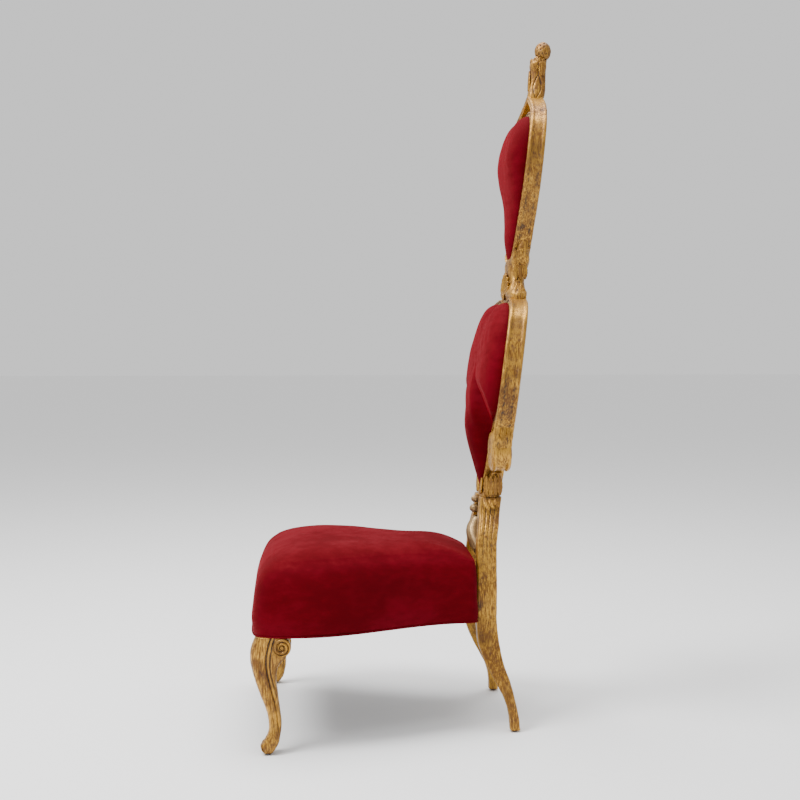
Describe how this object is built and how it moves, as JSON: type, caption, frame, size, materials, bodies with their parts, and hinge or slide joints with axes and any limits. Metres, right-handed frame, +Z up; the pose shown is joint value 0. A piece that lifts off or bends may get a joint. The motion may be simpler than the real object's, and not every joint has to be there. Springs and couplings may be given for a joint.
{
  "type": "throne chair",
  "caption": "Tall ceremonial throne chair: carved gilded frame, velvet seat, scrolled front legs, splayed rear legs and a narrow back of stacked velvet cushions under a ball finial.",
  "frame": {"origin": "on the floor under the middle of the chair's own box", "axes": "+Z up; the chair faces -Y; the chair's own left side is +X"},
  "size_m": [0.6264, 0.7944, 1.798],
  "materials": {
    "gilded_wood": "antique gold leaf over brown clay on carved wood, rubbed through on the edges",
    "red_velvet": "deep red cut velvet with a soft pile sheen",
    "dark_lining": "black dust cloth under the seat",
    "black_glide": "matt black moulded glide"
  },
  "bodies": {
    "root": {"front_leg_left": "gilded_wood", "front_leg_right": "gilded_wood", "rear_leg_and_stile_left": "gilded_wood", "rear_leg_and_stile_right": "gilded_wood", "splat": "gilded_wood", "lower_back_frame": "gilded_wood", "upper_back_frame_and_crest": "gilded_wood", "front_glide_left": "black_glide", "front_glide_right": "black_glide", "rear_glide_left": "black_glide", "rear_glide_right": "black_glide", "seat_upholstery": "red_velvet", "seat_board": "dark_lining", "lower_back_cushion": "red_velvet", "upper_back_cushion": "red_velvet", "lower_outside_panel": "red_velvet", "upper_outside_panel": "red_velvet"}
  },
  "joints": []
}
